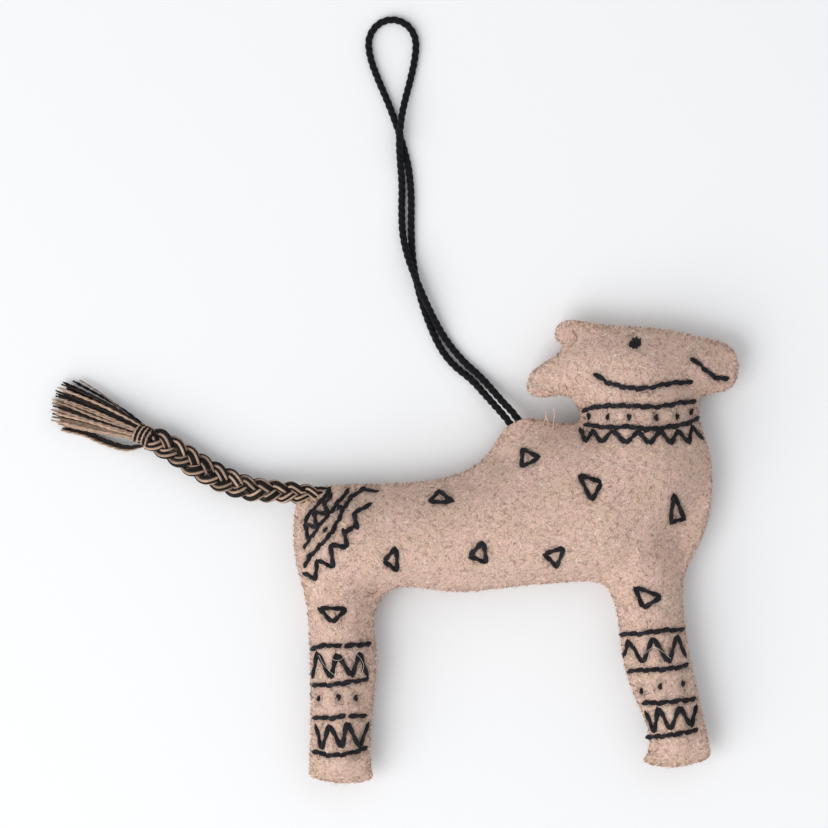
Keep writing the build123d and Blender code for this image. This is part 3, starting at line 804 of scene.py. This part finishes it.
def cadHeight(node, places, outward):
    # the height of the node's outer face at each place
    co, tri = cadArrays(node)
    tree = BVHTree.FromPolygons([tuple(p) for p in co], tri.tolist())
    heights = []
    for x, y in places:
        hit = tree.ray_cast(Vector((x, y, outward * rayStart)), Vector((0, 0, -outward)))[0]
        heights.append(hit.z if hit else np.nan)
    return np.array(heights)


def smoothHeights(heights, faces, fixed, rounds):
    pairs = np.array([(a, b) for f in faces for a, b in zip(f, f[1:] + f[:1])])
    pairs = np.vstack([pairs, pairs[:, ::-1]])
    held = heights[fixed]
    for _ in range(rounds):
        total = np.zeros(len(heights))
        count = np.zeros(len(heights))
        np.add.at(total, pairs[:, 0], heights[pairs[:, 1]])
        np.add.at(count, pairs[:, 0], 1)
        heights = 0.5 * heights + 0.5 * total / count
        heights[fixed] = held
    return heights


def restShape(side):
    # the stuffed shape that the CAD gives, rounded down to a flat flange at the seam
    flange = seamHeight + outwardOf[side] * cut["thickness"] * mm
    heights = cadHeight(side + "_panel", netPlaces, outwardOf[side])
    heights = np.where(np.isnan(heights), flange, heights)
    share = np.clip((netAway - cut["flange"] * mm) / (cut["rounding"][side] * mm), 0, 1)
    heights = flange + (heights - flange) * np.sqrt(1 - (1 - share) ** 2)
    return smoothHeights(heights, netFaces, netEdge, 5)


clothFeel = {"quality": 6, "mass": 0.4, "tension_stiffness": 30, "compression_stiffness": 30,
             "shear_stiffness": 20, "bending_stiffness": 6, "use_pressure": True}


def inflate(panel, fixed):
    # pressure from inside, the sewn edge held, gravity off
    scale = cut["scale"]
    panel.data.transform(Matrix.Scale(scale, 4))
    group = panel.vertex_groups.new(name="sewnEdge")
    group.add([int(i) for i in fixed], 1.0, "REPLACE")
    cloth = panel.modifiers.new("Cloth", "CLOTH")
    for key, value in clothFeel.items():
        setattr(cloth.settings, key, value)
    cloth.settings.uniform_pressure_force = cut["pressure"]
    cloth.settings.vertex_group_mass = "sewnEdge"
    cloth.settings.effector_weights.gravity = 0
    cloth.collision_settings.use_collision = False
    cloth.point_cache.frame_start = 1
    cloth.point_cache.frame_end = cut["frames"]
    for number in range(1, cut["frames"] + 1):
        scene.frame_set(number)
    bpy.context.view_layer.objects.active = panel
    bpy.ops.object.modifier_apply(modifier="Cloth")
    scene.frame_set(1)
    panel.vertex_groups.clear()
    panel.data.transform(Matrix.Scale(1 / scale, 4))


def setMeshPoints(mesh, co):
    mesh.vertices.foreach_set("co", co.astype(np.float32).ravel())
    mesh.update()


def applyModifier(obj, kind, **values):
    modifier = obj.modifiers.new(kind, kind)
    for key, value in values.items():
        setattr(modifier, key, value)
    bpy.ops.object.modifier_apply(modifier=kind)


def sewnPanel(side):
    outward = outwardOf[side]
    heights = restShape(side)
    faces = netFaces if side == "front" else [f[::-1] for f in netFaces]
    mesh = bpy.data.meshes.new(side + "_felt")
    mesh.from_pydata(np.column_stack([netPlaces, heights]).tolist(), [], faces)
    panel = newObject(side + "_felt", mesh)
    inflate(panel, netEdge)
    co = readTriples(mesh.vertices, "co")
    drift, swell, sink = cut["drift"] * mm, cut["swell"] * mm, cut["sink"] * mm
    co[:, :2] = netPlaces + np.clip(co[:, :2] - netPlaces, -drift, drift)
    co[:, 2] = heights + outward * np.clip(outward * (co[:, 2] - heights), -sink, swell)
    co[netEdge] = np.column_stack([netPlaces[netEdge], heights[netEdge]])
    co[:, 2] = np.maximum(co[:, 2], 0.03 * mm)
    setMeshPoints(mesh, co)
    bpy.context.view_layer.objects.active = panel
    panel.select_set(True)
    applyModifier(panel, "SOLIDIFY", thickness=cut["thickness"] * mm, offset=-1)
    applyModifier(panel, "SUBSURF", levels=2, render_levels=2)
    deselectAll()
    return panel


def distanceTo(spots, places):
    # how far each place is, seen from above, from the nearest spot
    tree = kdtree.KDTree(len(spots))
    for index, spot in enumerate(spots):
        tree.insert(Vector((spot[0], spot[1], 0)), index)
    tree.balance()
    return np.array([tree.find(Vector((x, y, 0)))[2] for x, y, _ in places])


def bell(distance, reach):
    return np.exp(-(distance / (reach * mm)) ** 2)


dimple = {"stitch": 0.2, "stitchReach": 0.6, "whip": 0.22, "whipReach": 0.8, "rimReach": 0.5,
          "backRoom": 0.62, "backReach": 0.85, "backFrom": 0.7, "backOver": 0.5, "notch": 0.2,
          "notchReach": 0.45, "wave": 0.05, "rimWave": 0.06, "smudge": 0.75, "smudgeReach": 0.75}


def pressStitches(panel, side):
    # dimples under the embroidery and the overcast stitches, and how near each point is to either
    outward = outwardOf[side]
    co = readTriples(panel.data.vertices, "co")
    spots = [a + (b - a) * t for node in stitchNodes[side] for a, b in stitchEnds[node]
             for t in np.linspace(0, 1, 7)]
    toStitch = distanceTo(spots, co)
    away, _, out = nearestEdge(co)
    away = np.where(insideOutline(co), away, 0)
    toWhip = distanceTo(whipFoot, co)
    press = dimple["stitch"] * bell(toStitch, dimple["stitchReach"]) \
        + dimple["whip"] * bell(toWhip, dimple["whipReach"])
    nearRim = bell(away, dimple["rimReach"])
    if side == "back":  # what lies on the table is pushed in by its own stitches
        co[:, 2] = np.maximum(co[:, 2], dimple["backRoom"] * mm * bell(toStitch, dimple["backReach"]))
        press = press * np.clip((co[:, 2] / mm - dimple["backFrom"]) / dimple["backOver"], 0, 1)
    co[:, 2] -= outward * press * mm
    co[:, :2] -= out * (nearRim * dimple["notch"] * bell(toWhip, dimple["notchReach"]))[:, None] * mm
    wave = np.sin(co[:, 0] * 2300 + 2 * np.sin(co[:, 1] * 1700)) \
        * np.sin(co[:, 1] * 1900 + np.sin(co[:, 0] * 1300))
    co[:, 2] += dimple["wave"] * mm * wave
    co[:, :2] += out * (nearRim * dimple["rimWave"] * mm * wave)[:, None]
    co[:, 2] = np.maximum(co[:, 2], 0.02 * mm)
    setMeshPoints(panel.data, co)
    smudge = dimple["smudge"] * bell(toStitch, dimple["smudgeReach"])
    # rimShadeAndSpecks is the nearness to the outer edge, the mask for the painted rim shade and its brown
    # specks
    for name, values in (("threadSmudge", smudge), ("rimShadeAndSpecks", np.exp(-away / mm))):
        layer = panel.data.attributes.new(name, "FLOAT", "POINT")
        layer.data.foreach_set("value", values.astype(np.float32))
    panel.data.polygons.foreach_set("use_smooth", [True] * len(panel.data.polygons))


panels = {}
for side in sides:
    panel = sewnPanel(side)
    pressStitches(panel, side)
    panel.data.materials.append(felt)
    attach(panel, "felt_body")
    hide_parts(side + "_panel")
    panels[side] = panel
    print(side, "felt sewn", len(panel.data.polygons))

# the wool inside, a little smaller than the space between the panels
surface = {}
for side, panel in panels.items():
    surface[side] = BVHTree.FromPolygons([v.co for v in panel.data.vertices],
                                         [tuple(p.vertices) for p in panel.data.polygons])


def feltAt(side, x, y):
    # the felt's outer face and its normal at one place
    outward = outwardOf[side]
    hit, normal, _, _ = surface[side].ray_cast(Vector((x, y, outward * rayStart)), Vector((0, 0, -outward)))
    return (None, Vector((0, 0, outward))) if hit is None else (hit.z, normal)


wool = {"inset": 1.9, "topGap": 1.35, "lowGap": 1.2, "halfSpace": 1.5, "least": 0.5, "lump": 0.12}


def makeStuffing():
    inner = netAway > wool["inset"] * mm
    kept = [f for f in netFaces if all(inner[i] for i in f)]
    used = sorted({i for f in kept for i in f})
    order = {old: new for new, old in enumerate(used)}
    tops, lows = [], []
    for i in used:
        x, y = netPlaces[i]
        top = (feltAt("front", x, y)[0] or seamHeight + wool["halfSpace"] * mm) - wool["topGap"] * mm
        low = (feltAt("back", x, y)[0] or seamHeight - wool["halfSpace"] * mm) + wool["lowGap"] * mm
        lump = wool["lump"] * mm * math.sin(x * 900) * math.sin(y * 800)
        if top - low < wool["least"] * mm:
            top = seamHeight + wool["least"] / 2 * mm
            low = seamHeight - wool["least"] / 2 * mm
        tops.append((x, y, top + lump))
        lows.append((x, y, low - lump))
    shift = len(used)
    faces = [tuple(order[i] for i in f) for f in kept]
    edges = {}
    for f in faces:
        for pair in zip(f, f[1:] + f[:1]):
            edges[pair] = edges.get(pair, 0) + 1
    walls = [(b, a, a + shift, b + shift) for a, b in edges if (b, a) not in edges]
    return np.array(tops + lows), faces + [tuple(i + shift for i in f[::-1]) for f in faces] + walls


makePiece("wool_stuffing", [(*makeStuffing(), 0.5)], fillWool, "felt_body", ["stuffing"])
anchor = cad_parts["cord_anchor"]
anchor.data.materials.clear()
anchor.data.materials.append(cordWool)
print("stuffed")


# embroidery: one stitch of floss, copied and bent to each place
stitch = {"width": 0.46, "flat": 0.7, "rise": 0.2, "dive": 0.5, "lineReach": 0.5, "cornerReach": 0.95,
          "dotReach": -0.15, "dotWidth": 0.42, "lowest": 0.38, "short": 3.2}
satin = {"halves": (0.5, 0.95, 1.05, 0.7), "step": 0.46, "lean": 0.12, "drop": 0.08, "width": 0.34,
         "reach": 0.05}
flossMaster = spunMaster("flossMaster", 2, 5, 6, 1.0)
shortMaster = spunMaster("shortMaster", 2, 5, 5, 0.7)


def stitchLine(side, start, end, lean, reach):
    # from under the felt, over its face and back under it
    outward = outwardOf[side]
    start, end = np.asarray(start), np.asarray(end)
    way = (end - start)[:2]
    length = np.linalg.norm(way)
    way = way / max(length, 1e-9)
    across = np.array([-way[1], way[0]])
    begin, finish = start[:2] - way * reach * mm, end[:2] + way * reach * mm
    line = []
    for t in np.linspace(0, 1, 9):
        place = begin + (finish - begin) * t + across * lean * mm * (t - 0.5)
        height, _ = feltAt(side, *place)
        if height is None:
            height = seamHeight + outward * mm
        lift = stitch["rise"] - stitch["dive"] * abs(2 * t - 1) ** 5
        line.append((place[0], place[1], max(height + outward * lift * mm, stitch["lowest"] * mm)))
    return np.array(line)


def fullMiddle(t):
    return 0.55 + 0.45 * np.sqrt(np.clip(1 - np.abs(2 * t - 1) ** 3, 0, 1))


def groupStitches(node):
    # start, end, width, lean and reach of each stitch that the piece shows
    group = node.split("_", 1)[1]
    if group == "eye":  # satin stitches side by side, longest in the middle
        low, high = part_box(node)
        middle = (low + high) / 2
        for index, half in enumerate(satin["halves"]):
            place = middle + Vector((satin["step"], satin["drop"], 0)) * (index - 1.5) * mm
            toEnd = Vector((satin["lean"], half, 0)) * mm
            yield place - toEnd, place + toEnd, satin["width"], 0.0, satin["reach"]
        return
    for start, end in stitchEnds[node]:
        width = stitch["width"] * (0.92 + 0.16 * random.random())
        if group.endswith("dots"):
            yield start, end, stitch["dotWidth"], 0.0, stitch["dotReach"]
        elif group.endswith(("line", "lines")):
            yield start, end, width, 0.3, stitch["lineReach"]
        else:
            yield start, end, width, 0.2 * (random.random() - 0.5), stitch["cornerReach"]


for side in sides:
    for node in stitchNodes[side]:
        parts = []
        for start, end, width, lean, reach in groupStitches(node):
            line = stitchLine(side, start, end, lean, reach)
            isShort = alongPath(line)[1][-1] < stitch["short"] * mm
            laid = layMaster(shortMaster if isShort else flossMaster, line, width * mm, (0, 0, 1),
                             fullMiddle, stitch["flat"])
            parts.append((*laid, 0.25 + 0.5 * random.random()))
        makePiece(node + "_stitches", parts, floss, "felt_body", [node])
print("embroidery laid")

# overcast seam: a thread that dives into each face and wraps the edge between them
whip = {"radius": 0.15, "inset": 0.95, "over": -0.24, "lift": 0.1, "slant": 0.5,
        "shares": (1.0, 0.8, 0.6, 0.4), "dive": 0.5, "lowest": 0.2}
whipPath = [("front", share) for share in whip["shares"]] + [(None, 0)] \
    + [("back", share) for share in reversed(whip["shares"])]
whipMaster = spunMaster("whipMaster", 1, 5, 9, 0)
whipParts = []
for foot, out in zip(whipFoot, whipOut):
    along = np.array([-out[1], out[0]])
    jitter = dice.uniform(-1, 1, 4)
    slant = whip["slant"] * (1 + 0.6 * jitter[0])
    inset = whip["inset"] * (1 + 0.22 * jitter[1])
    line = []
    for side, share in whipPath:
        if side is None:
            place = foot + out * whip["over"] * mm
            line.append((place[0], place[1], seamHeight))
            continue
        outward = outwardOf[side]
        place = foot - out * inset * share * mm + along * slant * share * outward * mm
        height, _ = feltAt(side, *place)
        if height is None:
            height = seamHeight + outward * 0.8 * mm
        lift = whip["lift"] - whip["dive"] * max(0, share - 0.6) / 0.4
        line.append((place[0], place[1], max(height + outward * lift * mm, whip["lowest"] * mm)))
    laid = layMaster(whipMaster, smoothLine(line, 0.25 * mm),
                     whip["radius"] * (1 + 0.15 * jitter[2]) * mm, (*along, 0),
                     lambda t: 0.7 + 0.3 * np.sqrt(np.clip(1 - np.abs(2 * t - 1) ** 4, 0, 1)))
    whipParts.append((*laid, 0.15 + 0.75 * random.random() ** 0.8))
makePiece("overcast_seam", whipParts, seamWool, "felt_body", ["seam_thread"])
print("seam sewn")

# loose fibres: fuzz over the felt, the floss and the tail, then thread ends and lint
fuzz = {"front": 2600, "back": 1500, "rim": 700, "radius": 0.016, "length": 1.0, "every": 7,
        "floss": 9, "haze": 0.45, "tail": 160, "tailFrom": 26, "tailRadius": 0.018, "lowest": 0.05}
fibreMaster = spunMaster("fibreMaster", 1, 3, 4, 0)


def curledHair(root, normal, length, lift, curl):
    # a hair that leaves the surface and lies down again in an arc
    normal = Vector(normal).normalized()
    way = Vector(dice.normal(size=3))
    way = (way - normal * way.dot(normal)).normalized()
    turn = normal.cross(way)
    line = []
    for t in np.linspace(0, 1, 6):
        bend = curl * t
        arc = way * (math.sin(bend) / curl) + turn * ((1 - math.cos(bend)) / curl)
        rise = lift * math.sin(math.pi * (0.15 + 0.75 * t)) - 0.04 * mm
        line.append(tuple(Vector(root) + arc * length + normal * rise))
    return np.array(line)


def addHair(parts, line, radius, tone):
    line[:, 2] = np.maximum(line[:, 2], fuzz["lowest"] * mm)
    parts.append((*layMaster(fibreMaster, line, radius, (0.3, 0.2, 1), lambda t: 1 - 0.7 * t), tone))


hairs = []
for side in sides:
    outward = outwardOf[side]
    normals = readTriples(panels[side].data.polygons, "normal")
    centres = readTriples(panels[side].data.polygons, "center")
    facing = np.where(normals[:, 2] * outward > 0.15)[0][::fuzz["every"]]
    shown = [abs((feltAt(side, x, y)[0] or math.inf) - z) < 0.05 * mm for x, y, z in centres[facing]]
    facing = facing[np.array(shown)]
    for pick in dice.choice(facing, fuzz[side], replace=False):
        size = fuzz["length"] * (0.5 + dice.random()) * mm
        line = curledHair(centres[pick], normals[pick], size, 0.14 * mm * dice.random(),
                          0.6 + 2.2 * dice.random())
        addHair(hairs, line, fuzz["radius"] * (0.8 + 0.6 * dice.random()) * mm, dice.random() ** 0.6)
for index in dice.integers(0, len(outline), fuzz["rim"]):
    foot, out = outline[index] + edgeAhead[index] * dice.random(), edgeOut[index]
    height = seamHeight + dice.uniform(-0.9, 0.9) * mm
    normal = Vector((out[0], out[1], dice.uniform(-0.3, 0.6)))
    line = curledHair((*(foot - out * 0.12 * mm), height), normal, (0.4 + 0.6 * dice.random()) * mm,
                      (0.05 + 0.25 * dice.random()) * mm, 0.8 + 2 * dice.random())
    addHair(hairs, line, fuzz["radius"] * mm, dice.random() ** 0.7)
makePiece("felt_fuzz", hairs, feltHair, "felt_body")

flossHairs = []
for side in sides:
    for node in stitchNodes[side]:
        for start, end in stitchEnds[node]:
            for _ in range(fuzz["floss"]):
                share = dice.uniform(-0.15, 1.15)
                place = start + (end - start) * share + dice.normal(0, fuzz["haze"] * mm, 3)
                height, normal = feltAt(side, place[0], place[1])
                if height is None:
                    continue
                line = curledHair((place[0], place[1], height), normal, (0.5 + 0.9 * dice.random()) * mm,
                                  0.25 * dice.random() * mm, 0.6 + 2.4 * dice.random())
                addHair(flossHairs, line, fuzz["radius"] * 2 * mm, 0.5)
makePiece("floss_fuzz", flossHairs, floss, "felt_body")

tailHairs = []
for _ in range(fuzz["tail"]):
    index = dice.integers(fuzz["tailFrom"], len(tailPoints) - 6)
    angle = dice.uniform(0, 2 * math.pi)
    normal = tailSide[index] * math.cos(angle) + tailOver[index] * math.sin(angle)
    root = tailPoints[index] + normal * 1.5 * mm
    line = curledHair(root, normal, (0.7 + dice.random()) * mm, 0.3 * mm * dice.random(),
                      0.8 + 2 * dice.random())
    addHair(tailHairs, line, fuzz["tailRadius"] * mm, 0.5 * dice.random())
makePiece("tail_fuzz", tailHairs, feltHair, "tail")


def onFelt(places, lift=0.12):
    # a line of places brought onto the front felt
    line = []
    for x, y in places:
        height, _ = feltAt("front", x * mm, y * mm)
        line.append((x * mm, y * mm, (height or seamHeight + mm) + lift * mm))
    return smoothLine(line, 0.25 * mm)


# the tail's yarns run on over the corner of the felt, where they are sewn down
rootParts = []
for tone, places in ((0.0, [(-34.6, 9.9), (-33, 10.1), (-31.4, 10.2), (-29.8, 10)]),
                     (0.85, [(-34.8, 9.5), (-33.6, 9.3), (-32.4, 8.6), (-31.9, 7.9)]),
                     (0.02, [(-34.9, 9.2), (-33.8, 9.5), (-32.2, 9.3), (-30.8, 9.5)]),
                     (0.9, [(-34.6, 8.7), (-33.9, 8.5), (-33.1, 7.9), (-32.6, 7.3)])):
    line = onFelt(places)
    line[-2:, 2] -= np.array([0.2, 0.5]) * mm
    rootParts.append((*spunRope(line, 0.28 * mm, 2, 2.4 * mm, 5), tone))
makePiece("tail_root_yarns", rootParts, tailWool, "felt_body")

# pale thread ends on the hump and under the lower ear, dark ones at the ears, and white lint on the leg
tufts = []
for tone, radius, places in (
        (0.95, 0.13, [(5.2, 19.8), (5.1, 20.8), (4.7, 21.8), (4.9, 22.6)]),
        (0.9, 0.13, [(5.9, 19.6), (6.0, 20.9), (6.2, 22.1), (5.9, 22.9)]),
        (0.85, 0.12, [(4.4, 20.1), (4.6, 21.0), (5.0, 21.6)]),
        (0.9, 0.13, [(8.3, 24.8), (8.0, 25.8), (7.7, 26.8)]),
        (0.8, 0.12, [(7.6, 24.9), (7.9, 25.7), (8.7, 26.2)]),
        (0.35, 0.12, [(9.1, 35.2), (9.6, 34.0), (9.0, 33.2), (8.6, 32.6)]),
        (0.3, 0.12, [(12.3, 36.2), (13.5, 35.5), (14.6, 35.9), (15.0, 36.4)]),
        (0.35, 0.12, [(31.0, 33.6), (31.8, 33.0), (32.4, 33.5)]),
        (0.3, 0.12, [(-22.2, -6.3), (-23.0, -6.8), (-24.0, -6.3)])):
    tufts.append((*spunRope(onFelt(places), radius * mm, 2, 1.2 * mm, 5,
                            taper=lambda t: 1 - 0.6 * np.clip((t - 0.7) / 0.3, 0, 1)), tone))
makePiece("loose_thread_ends", tufts, seamWool, "felt_body")
lint = []
for places in ([(-31.5, -16.4), (-30.9, -17.6), (-29.8, -18.9), (-28.4, -19.8), (-27.5, -19.6)],
               [(-30.6, -15.4), (-29.4, -16.9), (-28.2, -17.2), (-26.7, -16.4), (-25.6, -17.4)],
               [(-25.8, -16.0), (-24.9, -16.8), (-24.3, -18.2), (-24.8, -19.6)],
               [(20.4, -16.2), (21.8, -15.1), (23.4, -15.9), (24.6, -17.0)],
               [(16.9, 30.6), (18.4, 29.6), (20.0, 29.9)]):
    lint.append((*spunRope(onFelt(places, 0.66), 0.024 * mm, 1, mm, 3), 0.8))
makePiece("white_lint", lint, fillWool, "felt_body")
print("fibres laid")

sizes = {"cad": [list(corner) for corner in cadBox], "visual": [list(corner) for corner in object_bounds()]}
print("CAD box", sizes["cad"], "visual box", sizes["visual"])
